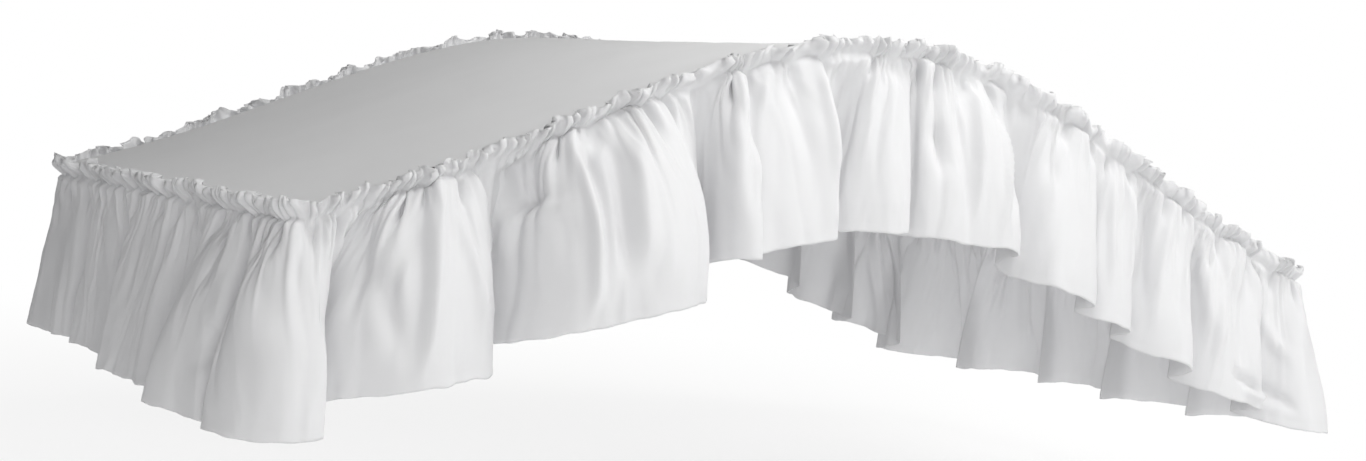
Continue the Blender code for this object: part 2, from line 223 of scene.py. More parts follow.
# Creases that show on their own, each from its top to its foot on one side of the cover.
# top and foot are places along the side, and the drops are metres below the seam.
# bow is how far it bends sideways, width is half its breadth, and depth is below 0 for a ridge.
# A strip carries the creases of its own stretch of seam and of a margin past both its ends.
CREASE_MARGIN = 0.15
Crease = namedtuple("Crease", "side top top_drop foot foot_drop bow width depth")
CREASE_ROWS = {
    "front": (
        (-0.933, 0, -0.975, 0.11, 0, 0.012, 0.01),
        (-0.886, 0, -0.93, 0.175, 0, 0.012, 0.016),
        (-0.905, 0.085, -0.872, 0.25, 0.008, 0.014, 0.011),
        (-0.838, 0, -0.86, 0.27, 0.004, 0.014, 0.013),
        (-0.812, 0, -0.846, 0.285, 0.006, 0.01, -0.01),
        (-0.797, 0.03, -0.73, 0.225, 0.012, 0.009, -0.008),
        (-0.712, 0, -0.678, 0.17, 0, 0.01, -0.014),
        (-0.674, 0.004, -0.65, 0.116, -0.008, 0.024, 0.04),
        (-0.704, 0.104, -0.606, 0.112, 0.012, 0.008, -0.012),
        (-0.65, 0.085, -0.655, 0.29, 0, 0.038, 0.014),
        (-0.604, 0, -0.604, 0.29, 0.01, 0.009, -0.016),
        (-0.592, 0, -0.59, 0.235, 0.014, 0.01, 0.014),
        (-0.536, 0, -0.552, 0.23, -0.008, 0.011, 0.014),
        (-0.506, 0.02, -0.525, 0.22, -0.004, 0.014, -0.013),
        (-0.322, 0.05, -0.336, 0.23, 0, 0.01, -0.008),
        (-0.298, 0.04, -0.322, 0.215, 0, 0.012, 0.008),
        (-0.258, 0, -0.296, 0.19, -0.01, 0.009, -0.013),
        (-0.178, 0, -0.138, 0.22, 0.008, 0.009, -0.011),
        (-0.128, 0, -0.108, 0.17, 0, 0.017, 0.012),
        (-0.052, 0, -0.096, 0.2, 0.006, 0.009, -0.013),
        (0.062, 0.095, 0.086, 0.185, 0, 0.018, 0.013),
        (0.146, 0, 0.13, 0.27, 0.01, 0.009, -0.011),
        (0.218, 0, 0.19, 0.28, 0.004, 0.008, -0.013),
        (0.24, 0, 0.206, 0.23, 0.004, 0.01, 0.014),
        (0.345, 0, 0.32, 0.13, 0, 0.014, 0.01),
        (0.463, 0.01, 0.452, 0.26, 0, 0.008, -0.011),
        (0.487, 0, 0.474, 0.24, 0, 0.007, -0.008),
        (0.532, 0, 0.518, 0.24, 0, 0.008, -0.01),
        (0.59, 0, 0.566, 0.23, 0, 0.012, 0.016),
        (0.642, 0, 0.58, 0.25, -0.006, 0.009, -0.013),
        (0.668, 0.03, 0.64, 0.235, 0, 0.024, 0.011),
        (0.718, 0, 0.725, 0.2, 0.012, 0.009, -0.013),
        (0.793, 0, 0.736, 0.235, -0.006, 0.01, -0.01),
        (0.8, 0.06, 0.79, 0.24, 0, 0.02, 0.01),
        (0.838, 0.01, 0.895, 0.25, 0.008, 0.009, -0.013),
        (0.9, 0.085, 0.958, 0.16, -0.012, 0.01, -0.011),
        (0.76, 0.232, 0.875, 0.262, 0.006, 0.009, 0.012),
        (0.8, 0.262, 0.93, 0.246, -0.005, 0.008, -0.01),
        (0.865, 0.215, 0.96, 0.25, 0.006, 0.009, 0.011),
    ),
    "right": (
        (-0.47, 0, -0.44, 0.24, 0, 0.012, 0.017),
        (-0.38, 0.02, -0.4, 0.27, 0.006, 0.01, -0.015),
        (-0.255, 0, -0.23, 0.23, 0, 0.013, 0.018),
        (-0.17, 0.03, -0.165, 0.265, 0.008, 0.01, -0.015),
        (-0.03, 0, -0.01, 0.21, 0, 0.012, 0.017),
        (0.045, 0.01, 0.06, 0.27, -0.006, 0.01, -0.017),
        (0.205, 0, 0.22, 0.23, 0, 0.013, 0.018),
        (0.265, 0.02, 0.285, 0.25, 0, 0.009, -0.015),
        (0.41, 0, 0.43, 0.24, 0.006, 0.012, 0.015),
        (0.475, 0.04, 0.5, 0.23, 0, 0.01, -0.013),
    ),
    "back": (
        (0.83, 0, 0.8, 0.23, 0, 0.011, 0.015),
        (0.7, 0.01, 0.665, 0.265, 0.006, 0.01, -0.017),
        (0.56, 0, 0.52, 0.23, 0, 0.013, 0.018),
        (0.43, 0, 0.33, 0.26, 0.008, 0.011, -0.018),
        (0.395, 0.01, 0.285, 0.22, 0, 0.012, 0.019),
        (0.215, 0, 0.12, 0.25, 0.006, 0.011, -0.018),
        (0.175, 0, 0.065, 0.21, 0, 0.013, 0.019),
        (-0.02, 0, -0.105, 0.24, 0.008, 0.011, -0.018),
        (-0.075, 0.02, -0.155, 0.23, 0, 0.012, 0.018),
        (-0.285, 0, -0.345, 0.265, 0, 0.01, -0.017),
        (-0.35, 0, -0.375, 0.2, 0.006, 0.014, 0.019),
        (-0.52, 0.02, -0.54, 0.255, 0, 0.01, -0.015),
        (-0.59, 0, -0.615, 0.215, -0.006, 0.013, 0.018),
        (-0.76, 0, -0.775, 0.24, 0, 0.011, 0.017),
        (-0.835, 0.01, -0.82, 0.26, 0.006, 0.01, -0.015),
    ),
    "left": (
        (-0.537, 0, -0.536, 0.18, 0, 0.013, 0.01),
        (0.35, 0, 0.262, 0.25, 0, 0.014, 0.007),
        (0.215, 0, 0.06, 0.24, 0, 0.014, 0.007),
        (0.1, 0, -0.02, 0.22, 0, 0.01, -0.006),
        (0.02, 0, -0.045, 0.2, 0, 0.012, 0.007),
        (-0.09, 0, -0.12, 0.15, 0, 0.012, 0.009),
        (-0.17, 0, -0.27, 0.25, 0, 0.012, -0.006),
        (-0.19, 0, -0.215, 0.095, 0, 0.01, 0.009),
        (-0.335, 0, -0.37, 0.13, 0, 0.011, 0.01),
        (-0.366, 0, -0.395, 0.11, 0, 0.01, -0.005),
        (-0.425, 0.15, -0.455, 0.215, 0, 0.018, 0.013),
        (-0.47, 0.04, -0.505, 0.19, 0.006, 0.01, -0.008),
    ),
}
CREASES = [Crease(side, *row) for side, rows in CREASE_ROWS.items() for row in rows]

# The cotton's weave: noise scales in lumps a metre, then how much each pattern stands out, shades and dulls
SLUB_FINE = 900.0
SLUB_LONG = 30.0
MOTTLE_SCALE = (9.0, 14.0, 1.0)
WEAVE_RELIEF = 0.35
SLUB_RELIEF = 0.5
DARKEST_SHADE = 0.972
MOTTLE_SHADE = 0.030
SLUB_SHADE = 0.013
MOTTLE_DULLNESS = 0.10

# The soft lights, each a square of this size at this place. Their powers are sizes of the studio
Lamp = namedtuple("Lamp", "name size place")
LAMPS = (
    Lamp("key", 1.8, (2.7, -2.3, 1.2)),
    Lamp("top", 1.4, (0.1, -1.2, 1.75)),
    Lamp("fill", 1.3, (-1.9, -3.9, 0.0)),
    Lamp("side", 0.6, (-2.4, -1.6, 0.3)),
    Lamp("back", 1.4, (3.2, 1.9, 0.0)),
    Lamp("low", 0.5, (1.6, -2.2, -0.55)),
)
LIGHTS_AIM = (0.0, 0.0, -0.3)
WHITE = (1.0, 1.0, 1.0, 1.0)
FLOOR_RADIUS = 30.0
FLOOR_FADE = 3.0
NEAR_GLOW = 0.80
GLOW_HELD_BACK = 0.65

# Each side of the seam line: where its straight run starts, its direction, and its length
Side = namedtuple("Side", "name start_x start_y angle length")
SIDES = (
    Side("front", CORNER_RADIUS - HALF_LENGTH, -HALF_WIDTH, 0.0, 2 * (HALF_LENGTH - CORNER_RADIUS)),
    Side("right", HALF_LENGTH, CORNER_RADIUS - HALF_WIDTH, 90.0, 2 * (HALF_WIDTH - CORNER_RADIUS)),
    Side("back", HALF_LENGTH - CORNER_RADIUS, HALF_WIDTH, 180.0, 2 * (HALF_LENGTH - CORNER_RADIUS)),
    Side("left", -HALF_LENGTH, HALF_WIDTH - CORNER_RADIUS, 270.0, 2 * (HALF_WIDTH - CORNER_RADIUS)),
)
QUARTER_TURN = CORNER_RADIUS * math.pi / 2
LOOP_LENGTH = sum(side.length + QUARTER_TURN for side in SIDES)


def number(name, description, default, **kind):
    """A number that a user can change, with its unit or its subtype."""
    return FloatProperty(name=name, description=description, default=default, **kind)


def metres(name, description, default):
    """A size in metres that a user can change."""
    return number(name, description, default, unit="LENGTH")


class RuffleSizes(bpy.types.PropertyGroup):
    """How deep the ruffle is and how finely it is gathered."""

    drop: metres("Drop", "Seam to hem, before the billows draw it up", 0.281)
    heading: metres("Heading", "Height of the frilled heading above the seam", 0.027)
    cloth: metres("Cloth", "Thickness of one layer", 0.0008)
    hem: metres("Hem", "Depth of the turned hem", 0.012)
    gather_width: metres("Gather width", "Cloth taken up by one fine gather", 0.050)
    gather_pitch: metres("Gather pitch", "Seam taken up by one fine gather", 0.026)
    gather_height: metres("Gather height", "How far a fine gather stands out", 0.0075)
    bunch_height: metres("Bunch height", "How far a bunch puffs up and out at the seam", 0.011)
    pit_depth: metres("Pit depth", "How far the cloth sinks in between two bunches", 0.011)
    fold_width: metres("Fold width", "Cloth taken up by one long soft fold", 0.110)
    fold_height: metres("Fold height", "How far a long soft fold stands out", 0.0085)
    frill_height: metres("Frill height", "How far the heading waves in and out", 0.014)
    crease_height: metres("Crease height", "How far a crease stands out", 0.0030)
    crumple: metres("Crumple", "Height of the fine unevenness", 0.0013)
    heading_rows: IntProperty(name="Heading rows", description="Rows of faces in the heading", default=8)
    drop_rows: IntProperty(name="Drop rows", description="Rows of faces below the seam", default=34)


class DeckSizes(bpy.types.PropertyGroup):
    """The deck panel's edge and its soft unevenness."""

    cloth: metres("Cloth", "Thickness of the panel", 0.0010)
    rim: metres("Rim", "Radius of the turned edge", 0.005)
    sag: metres("Sag", "How much the middle sinks between the long edges", 0.004)
    pucker: metres("Pucker", "Height of the puckers along the seam", 0.0012)
    stations: IntProperty(name="Stations", description="Faces along the panel", default=260)
    lanes: IntProperty(name="Lanes", description="Faces across the panel", default=120)


class CottonLook(bpy.types.PropertyGroup):
    """Colours and finish of the cotton."""

    ruffle_colour: FloatVectorProperty(
        name="Ruffle", description="Ruffle's colour", subtype="COLOR", size=3, default=(0.88, 0.88, 0.89)
    )
    deck_colour: FloatVectorProperty(
        name="Deck", description="Deck's colour", subtype="COLOR", size=3, default=(0.86, 0.86, 0.87)
    )
    roughness: number("Roughness", "Dullness of the cotton", 0.86, subtype="FACTOR")
    sheen: number("Sheen", "Soft fibre sheen", 0.15, subtype="FACTOR")
    ruffle_sheerness: number("Ruffle sheerness", "Light let through by the ruffle", 0.40, subtype="FACTOR")
    deck_sheerness: number("Deck sheerness", "Light let through by the deck", 0.16, subtype="FACTOR")
    thread: metres("Thread", "Pitch of the weave", 0.0007)


class StudioLook(bpy.types.PropertyGroup):
    """The floor, the lights and the camera."""

    floor_colour: FloatVectorProperty(
        name="Floor", description="Colour of the floor", subtype="COLOR", size=3, default=(0.95, 0.95, 0.95)
    )
    floor_gap: metres("Floor gap", "Height of the lowest hem over the floor", 0.16)
    surround: number("Surround", "Strength of the even light", 0.15)
    key_power: number("Key light", "Power of the large soft light", 42.0, unit="POWER")
    top_power: number("Top light", "Power of the light over the deck", 38.0, unit="POWER")
    fill_power: number("Fill light", "Power of the light from the front", 47.0, unit="POWER")
    back_power: number("Back light", "Power of the light from behind", 52.0, unit="POWER")
    side_power: number("Side light", "Power of the light on the left end", 3.5, unit="POWER")
    low_power: number("Low light", "Power of the light under the arch", 5.0, unit="POWER")
    light_colour: FloatVectorProperty(
        name="Light", description="Colour of the lights", subtype="COLOR", size=3, default=(1.0, 1.0, 0.984)
    )
    camera_place: FloatVectorProperty(
        name="Camera place",
        description="Where the camera stands",
        size=3,
        unit="LENGTH",
        default=(-2.1097, -3.1257, -0.1861),
    )
    camera_heading: number("Camera heading", "Direction of view, turned from +X", 0.98487, subtype="ANGLE")
    camera_tilt: number("Camera tilt", "How far up it looks", -0.04128, subtype="ANGLE")
    camera_roll: number("Camera roll", "How far it leans", 0.09361, subtype="ANGLE")
    lens: number("Lens", "Focal length in millimetres", 54.93)


def blend(a, b, share):
    """A value between a and b, a where share is 0 and b where it is 1."""
    return a + (b - a) * share


def ease(value):
    """A smooth step from 0 to 1 as value goes from 0 to 1."""
    share = np.clip(value, 0.0, 1.0)
    return share * share * (3 - 2 * share)


def wander(value, shift=0.0):
    """A smooth wander between about -1 and 1, from waves whose lengths share no multiple."""
    return (
        0.45 * np.sin(1.7 * value + shift)
        + 0.30 * np.sin(3.9 * value + 1.3 + 2.1 * shift)
        + 0.25 * np.sin(7.3 * value + 4.1 + 0.7 * shift)
    )


def lumps(x, y, seed):
    """Smooth lumps between about -1 and 1, a unit across, from a small grid of seeded slopes."""
    size = 64
    slopes = np.random.default_rng(seed).uniform(0, 2 * np.pi, (size, size))
    column = np.floor(x).astype(int)
    row = np.floor(y).astype(int)
    total = 0.0
    for next_column in (0, 1):
        for next_row in (0, 1):
            slope = slopes[(row + next_row) % size, (column + next_column) % size]
            across = x - column - next_column
            down = y - row - next_row
            weight = ease(1 - np.abs(across)) * ease(1 - np.abs(down))
            total = total + weight * (np.cos(slope) * across + np.sin(slope) * down)
    return 1.6 * total


def uneven(pattern, along, down=0.0):
    """The lumps of one pattern at places on the cloth."""
    return lumps(along / pattern.along, down / pattern.down, pattern.seed)


def ridges(turns, sharpness=0.10):
    """Round ridges with tight valleys between them, 0 to 1, one for each turn."""
    half = np.sin(np.pi * turns)
    top = math.hypot(1, sharpness) - sharpness
    return (np.sqrt(half * half + sharpness * sharpness) - sharpness) / top


def arch_height(x):
    """Height of the deck's underside, 0 at the crest: an ogee blended with a parabola."""
    share = np.minimum(1.0, np.abs(x) / HALF_LENGTH)
    ogee = 0.5 * (1 + np.cos(np.pi * share))
    parabola = 1 - share * share
    return ARCH_RISE * (OGEE_SHARE * ogee + (1 - OGEE_SHARE) * parabola - 1)


def seam_line(position):
    """Places on the rounded rectangle that the ruffle is sewn along, and the heading there."""
    left = np.mod(position, LOOP_LENGTH)
    x = np.zeros_like(left)
    y = np.zeros_like(left)
    heading = np.zeros_like(left)
    start = 0.0
    for side in SIDES:
        angle = math.radians(side.angle)
        on_side = (left >= start) & (left < start + side.length)
        run = left - start
        x = np.where(on_side, side.start_x + run * math.cos(angle), x)
        y = np.where(on_side, side.start_y + run * math.sin(angle), y)
        heading = np.where(on_side, angle, heading)
        start += side.length
        on_corner = (left >= start) & (left < start + QUARTER_TURN)
        turned = angle + (left - start) / CORNER_RADIUS
        centre_x = side.start_x + side.length * math.cos(angle) - CORNER_RADIUS * math.sin(angle)
        centre_y = side.start_y + side.length * math.sin(angle) + CORNER_RADIUS * math.cos(angle)
        x = np.where(on_corner, centre_x + CORNER_RADIUS * np.sin(turned), x)
        y = np.where(on_corner, centre_y - CORNER_RADIUS * np.cos(turned), y)
        heading = np.where(on_corner, turned, heading)
        start += QUARTER_TURN
    return x, y, heading


def place_out(position, offset, height):
    """Points that stand out from the seam line by an offset, at a height."""
    x, y, heading = seam_line(position)
    return np.stack([x + offset * np.sin(heading), y - offset * np.cos(heading), height], axis=-1)


def side_position(side_name, coordinate):
    """Distance along the seam line of a place given as x or y on a side."""
    distance = 0.0
    for side in SIDES:
        if side.name == side_name:
            start = side.start_x if side_name in ("front", "back") else side.start_y
            return distance + abs(coordinate - start)
        distance += side.length + QUARTER_TURN
    raise ValueError(side_name)


def fold_at(index):
    """A valley's row, with its hem and top as distances along the seam line, counted on past the start."""
    fold = FOLDS[index % len(FOLDS)]
    lap = LOOP_LENGTH * (index // len(FOLDS))
    hem = side_position(fold.side, fold.hem) + lap
    top = side_position(fold.side, fold.top) + lap
    return fold._replace(hem=hem, top=top)


def billow_lines(index, shares):
    """One billow's columns at shares of its width: top, hem, offset, belly, sag and cloth used so far."""
    start = fold_at(index)
    end = fold_at(index + 1)
    before = fold_at(index - 1)
    width = end.hem - start.hem
    swell = np.sin(np.pi * shares)
    ripple = swell * np.sin(2 * np.pi * SUBFOLDS_A_METRE * width * shares + SUBFOLD_SHIFT * index)
    floor = blend(start.inset, end.inset, shares)
    hem = blend(start.hem, end.hem, shares) - STEEPNESS * width * np.sin(2 * np.pi * shares)
    offset = floor + (start.bulge - floor) * swell + SUBFOLD_HEIGHT * ripple
    places = place_out(hem, offset, 0 * hem)
    cloth = np.concatenate([[0.0], np.cumsum(np.linalg.norm(np.diff(places, axis=0), axis=1))])
    along = blend((hem - start.hem) / width, cloth / cloth[-1], GATHER_EVENNESS)
    top = blend(start.top + start.tuck / 2, end.top - end.tuck / 2, along)
    top = top - start.tuck / 2 * np.exp(-shares / TUCK_SHARE)
    top = top + end.tuck / 2 * np.exp((shares - 1) / TUCK_SHARE)
    edge = 0.5 * (1 - swell)
    first_half = shares < 0.5
    belly = blend(start.belly, np.where(first_half, before.belly, end.belly), edge)
    sag = blend(start.sag, np.where(first_half, before.sag, end.sag), edge)
    return np.stack([top, hem, offset, belly, sag, cloth])


def strip_lines(strip, sizes):
    """A strip's columns, closer together where the seam gathers little cloth.

    The rows are top, hem, offset, belly, sag, cloth used, gather number, and cloth from the nearest valley.
    """
    fine = np.linspace(0.0, 1.0, FINE_COUNT)
    parts = []
    used = 0.0
    for index in range(strip.first, strip.last):
        lines = billow_lines(index, fine)
        from_valley = np.minimum(lines[5], lines[5, -1] - lines[5])
        lines[5] += used
        used = lines[5, -1]
        lines = np.concatenate([lines, [from_valley]])
        parts.append(lines if index == strip.last - 1 else lines[:, :-1])
    lines = np.concatenate(parts, axis=1)
    cloth_steps = np.diff(lines[5])
    seam_steps = np.diff(lines[0])
    pace = 2 ** (PACE_SWING * wander(lines[5, 1:] / PACE_LENGTH, strip.first))
    steps = np.hypot(cloth_steps / sizes.gather_width, seam_steps / sizes.gather_pitch)
    gather_steps = strip.fineness * pace * steps
    gathers = np.concatenate([[0], np.cumsum(gather_steps)])
    measure = np.concatenate([[0], np.cumsum(np.hypot(cloth_steps, SEAM_WEIGHT * seam_steps))])
    even = np.linspace(0.0, measure[-1], strip.columns + 1)
    lines = np.concatenate([lines[:6], [gathers], lines[6:]])
    return np.stack([np.interp(even, measure, line) for line in lines])


def grid_normals(points):
    """Outward directions of a grid of points whose rows run down and columns run along."""
    down = np.gradient(points, axis=0)
    along = np.gradient(points, axis=1)
    normals = np.cross(down, along)
    return normals / np.maximum(1e-9, np.linalg.norm(normals, axis=-1, keepdims=True))


def crease_height(crease, position, drop):
    """How far one crease moves the cloth in or out, at places along the seam line and down the drop."""
    start = np.array([side_position(crease.side, crease.top), crease.top_drop])
    end = np.array([side_position(crease.side, crease.foot), crease.foot_drop])
    run = end - start
    length = np.linalg.norm(run)
    away = np.stack([position - start[0], drop - start[1]], axis=-1)
    share = away @ run / length**2
    aside = (away[..., 0] * run[1] - away[..., 1] * run[0]) / length
    bowed = aside - crease.bow * 4 * share * (1 - share)
    taper = ease(share / 0.25) * ease((1 - share) / 0.35)
    return -crease.depth * taper * np.exp(-((bowed / crease.width) ** 2))


def ruffle_points(strip, sizes):
    """One strip's grid of points, from its heading's edge to its hem, and its cloth coordinates."""
    top, hem, hem_offset, belly, sag, cloth, gathers, from_valley = strip_lines(strip, sizes)
    to_end = cloth[-1] - cloth
    near_start = np.maximum(0, 1 - cloth / STRIP_END_LENGTH)
    near_end = np.maximum(0, 1 - to_end / STRIP_END_LENGTH)
    pull = 0.5 * (near_start - near_end)
    rows = np.linspace(0.0, 1.0, sizes.drop_rows + 1)
    rows = rows - ROW_CROWDING * np.sin(2 * np.pi * rows) / (2 * np.pi)
    drop = rows[:, None]
    flare = 1 - (1 - drop) ** belly
    position = blend(top, hem, flare) + pull * STRIP_GAP
    offset = blend(SEAM_OFFSET, hem_offset, flare)
    seam_height = arch_height(seam_line(top)[0]) + SOLID_THICKNESS - SEAM_DEPTH
    draw_up = DRAW_UP_SHARE * hem_offset * hem_offset / sizes.drop
    hem_wave = HEM_WAVE_HEIGHT * uneven(HEM_WAVE, cloth)
    hem_wave = hem_wave + FINE_HEM_WAVE_HEIGHT * uneven(FINE_HEM_WAVE, cloth)
    height = seam_height - drop * (sizes.drop - draw_up + sag + hem_wave * drop)
    start = STRIP_SHIFT * strip.first
    puffed = bunches(cloth + start, strip)
    height = height + sizes.bunch_height * (puffed - PUFF_MEAN) * np.exp(-drop / PUFF_FADE)
    points = place_out(position, offset, height)
    down = drop * sizes.drop + 0 * cloth
    turns = gathers + SWAY * wander(cloth / SWAY_LENGTH, start)
    room = blend(1.0, ease((from_valley - VALLEY_FLOOR) / VALLEY_WIDTH), ease(2.5 * flare))
    heights = fold_heights(cloth + start, down, turns, puffed, strip, sizes)
    heights = (heights + crease_heights(position, down, strip)) * edge_share(cloth) * room
    points = points + grid_normals(points) * heights[..., None]
    heading = heading_points(top + pull * STRIP_GAP, seam_height, cloth, start, turns, puffed, sizes)
    heading_down = np.linspace(-sizes.heading, 0.0, sizes.heading_rows + 1)[:-1, None] + 0 * cloth
    return np.concatenate([heading, points]), cloth, np.concatenate([heading_down, down])


def edge_share(cloth):
    """0 at both ends of a strip, where it meets the next one, and 1 further in."""
    return ease(cloth / END_WIDTH) * ease((cloth[-1] - cloth) / END_WIDTH)


def gather_looseness(turns):
    """How much each gather stands out, from a flat one near 0.2 to a full one near 2."""
    return np.clip(1 + 1.1 * lumps(0.62 * turns, 0.5 + 0 * turns, GATHER_STRENGTH_SEED), 0.2, 2.0)


def gather_ridges(cloth, down, turns):
    """Fine gathers below the seam, each fading out at its own depth, 0 to about 2."""
    spread = np.clip(lumps(0.8 * turns, 0.3 + 0 * turns, GATHER_REACH_SEED) + 0.1, 0, 1) ** 1.5
    reach = SHORT_GATHER_REACH + LONG_GATHER_REACH * spread
    gathers = ridges(turns + 0.5 * uneven(GATHER_DRIFT, cloth, down), 0.12) * gather_looseness(turns)
    return gathers * blend(0.45, 1.0, ease(down / 0.012)) * np.exp(-((down / reach) ** 1.4))


def soft_folds(cloth, drift, down, sizes):
    """Long and short soft folds, stronger in some places and weaker towards the hem."""
    low = down / sizes.drop
    long_folds = ridges(drift / sizes.fold_width + 0.35 * wander(cloth / 0.31, 3.0), 0.22) - 0.35
    strength = np.clip(0.6 + 1.6 * uneven(LONG_FOLDS, cloth, down), 0, 1.8)
    long_folds = long_folds * strength * (1.0 - 0.40 * low)
    short_folds = ridges(2.3 * drift / sizes.fold_width + 0.4 * wander(cloth / 0.17, 5.0), 0.15) - 0.35
    strength = np.clip(0.1 + 1.7 * uneven(SHORT_FOLDS, cloth, down), 0, 1.5)
    short_folds = short_folds * strength * (1.0 - 0.6 * low)
    return long_folds + 0.60 * short_folds


def fine_creases(cloth, drift, down, sizes):
    """Thin creases that branch down the cloth, 0 to about 1.5."""
    low = down / sizes.drop
    lower = down / CREASE_LINES.down + 0.5 * uneven(CREASE_DRIFT, cloth, down)
    creases = 1 - 3.2 * np.abs(lumps(drift / CREASE_LINES.along, lower, CREASE_LINES.seed))
    creases = np.clip(creases, 0, 1) ** 1.4 * (1.0 - 0.5 * low)
    return creases * np.clip(0.5 + 1.2 * uneven(CREASE_STRENGTH, cloth, down), 0, 1.5)


def fold_heights(cloth, down, turns, puffed, strip, sizes):
    """How far the cloth below the seam stands out from its billows: gathers, soft folds and creases."""
    drift = cloth + 0.12 * uneven(WIDE_DRIFT, cloth, down) + 0.030 * uneven(SMALL_DRIFT, cloth, down)
    gathers = gather_ridges(cloth, down, turns)
    puff = puffed * ease(down / 0.013) * np.exp(-((down / PUFF_REACH) ** 2))
    pits = np.clip(1 - 2.4 * puffed, 0, 1) * ease(down / 0.008)
    pits = pits * np.exp(-(((down - PIT_DROP) / PIT_REACH) ** 2))
    below = ease(down / FOLD_START)
    folds = below * strip.folds * soft_folds(cloth, drift, down, sizes)
    creases = fine_creases(cloth, drift, down, sizes)
    crumple = uneven(CRUMPLE, drift, down) + 0.45 * uneven(FINE_CRUMPLE, drift, down)
    crinkles = np.clip(1 - 3.5 * np.abs(uneven(CRINKLES, drift, down)), 0, 1)
    crinkles = crinkles * np.exp(-((down / CRINKLE_REACH) ** 2))
    total = sizes.gather_height * gathers + sizes.bunch_height * puff
    total = total - sizes.pit_depth * pits + sizes.fold_height * folds
    total = total + ease(down / 0.015) * 0.9 * sizes.crease_height * crinkles
    total = total + below * sizes.crease_height * creases + ease(down / 0.02) * sizes.crumple * crumple
    to_hem = (down - sizes.drop + sizes.hem) / HEM_DENT_WIDTH
    return total - HEM_DENT * np.exp(-(to_hem**2))


def crease_heights(position, down, strip):
    """All the creases that are placed one by one on a strip, or near its ends."""
    first = fold_at(strip.first).top - CREASE_MARGIN
    last = fold_at(strip.last).top + CREASE_MARGIN
    total = 0 * down
    for crease in CREASES:
        if first < side_position(crease.side, crease.top) < last:
            total = total + crease_height(crease, position, down)
    return total


def bunches(place, strip):
    """Round bunches where the gathered cloth puffs up over the seam, with tight pits between them."""
    turns = place / strip.bunch + 0.7 * uneven(BUNCH_DRIFT, place)
    strength = np.clip(0.70 + 0.9 * lumps(0.6 * turns, 0 * turns, BUNCH_STRENGTH_SEED), 0.2, 1.2)
    return ridges(turns, 0.18) * strength


def heading_points(position, seam_height, cloth, start, turns, puffed, sizes):
    """The frilled heading: cloth that bulges and loops in and out above the seam, with its edge uneven."""
    inner = edge_share(cloth)
    place = cloth + start
    loose = gather_looseness(turns)
    bunch = np.clip(0.55 + 1.5 * uneven(HEADING_BUNCHES, place), 0, 1.4)
    flop = np.clip(0.9 * bunch - 0.2 + 0.6 * uneven(HEADING_FLOPS, place), 0, 1.2)
    half_gap = 0.13 * np.clip(np.gradient(position) / np.gradient(turns), 0.006, 0.034) * np.sqrt(loose)
    tall = 0.84 + 0.42 * bunch + 0.18 * uneven(HEADING_EDGE, place)
    tall = tall + 0.10 * uneven(FINE_HEADING_EDGE, place)
    wobble = sizes.bunch_height * (puffed - PUFF_MEAN)
    cornering = 1 - 0.4 * np.abs(np.sin(2 * seam_line(position)[2]))
    rows = []
    for rise in np.linspace(1.0, 0.0, sizes.heading_rows + 1)[:-1]:
        twist = 0.60 * rise * uneven(HEADING_TWIST, place, rise)
        twist = twist + 0.45 * rise * uneven(FINE_HEADING_TWIST, place, rise)
        loops = ridges(turns + twist, 0.15) * loose
        crinkle = uneven(HEADING_CRINKLE, place, rise)
        depth = blend(0.45 * sizes.gather_height, sizes.frill_height, ease(rise / 0.6))
        swell = 0.0115 * math.sin(math.pi * 0.80 * rise)
        offset = depth * loops + swell * bunch + 0.007 * flop * rise**2 + 0.0022 * rise * crinkle
        sideways = inner * rise * (half_gap * np.sin(4 * np.pi * (turns + twist)) + 0.0015 * crinkle)
        height = seam_height + sizes.heading * rise * tall - 0.005 * flop * rise**3
        height = height + 0.0025 * rise * crinkle + wobble * (1 - 0.75 * rise)
        rows.append(place_out(position + sideways, SEAM_OFFSET + inner * (cornering * offset), height))
    return np.stack(rows)


def sheet_mesh(name, points, cloth, down):
    """A mesh through a grid of points, with a map in metres along and down the cloth."""
    row_count, column_count = points.shape[:2]
    numbers = np.arange(row_count * column_count).reshape(row_count, column_count)
    faces = np.stack([numbers[:-1, :-1], numbers[1:, :-1], numbers[1:, 1:], numbers[:-1, 1:]], axis=-1)
    faces = faces.reshape(-1, 4)
    mesh = bpy.data.meshes.new(name)
    mesh.from_pydata(points.reshape(-1, 3).tolist(), [], faces.tolist())
    layer = mesh.uv_layers.new(name="cloth")
    flat = np.stack([np.broadcast_to(cloth, down.shape), down], axis=-1).reshape(-1, 2)
    layer.data.foreach_set("uv", flat[faces.ravel()].astype(np.float32).ravel())
    mesh.shade_smooth()
    return mesh


def show_cloth(name, mesh, node, material, thickness, hem=()):
    """Put a sheet in the scene with its thickness, doubled at the hem, in place of the solid under it."""
    piece = bpy.data.objects.new(name, mesh)
    bpy.context.scene.collection.objects.link(piece)
    mesh.materials.append(material)
    solid = piece.modifiers.new("Thickness", "SOLIDIFY")
    solid.thickness = thickness
    solid.offset = 0.0
    if len(hem):
        piece.vertex_groups.new(name="hem").add(hem, 1.0, "REPLACE")
        solid.vertex_group = "hem"
        solid.thickness_vertex_group = 0.5
    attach(piece, "root")
    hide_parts(node)
    return piece


class COVER_OT_ruffle(bpy.types.Operator):
    """Make the four gathered strips that hang round the deck"""

    bl_idname = "cover.ruffle"
    bl_label = "Ruffle"

    def execute(self, context):
        sizes = context.scene.cover_ruffle
        look = context.scene.cover_cotton
        material = cotton("ruffle_cotton", look.ruffle_colour, look.ruffle_sheerness, look)
        for strip in STRIPS:
            points, cloth, down = ruffle_points(strip, sizes)
            mesh = sheet_mesh(strip.name, points, cloth, down)
            hem = np.flatnonzero(down.ravel() > sizes.drop - sizes.hem).tolist()
            thickness = 2 * sizes.cloth
            piece = show_cloth(strip.name, mesh, strip.node, material, thickness, hem)
        return {"FINISHED"}


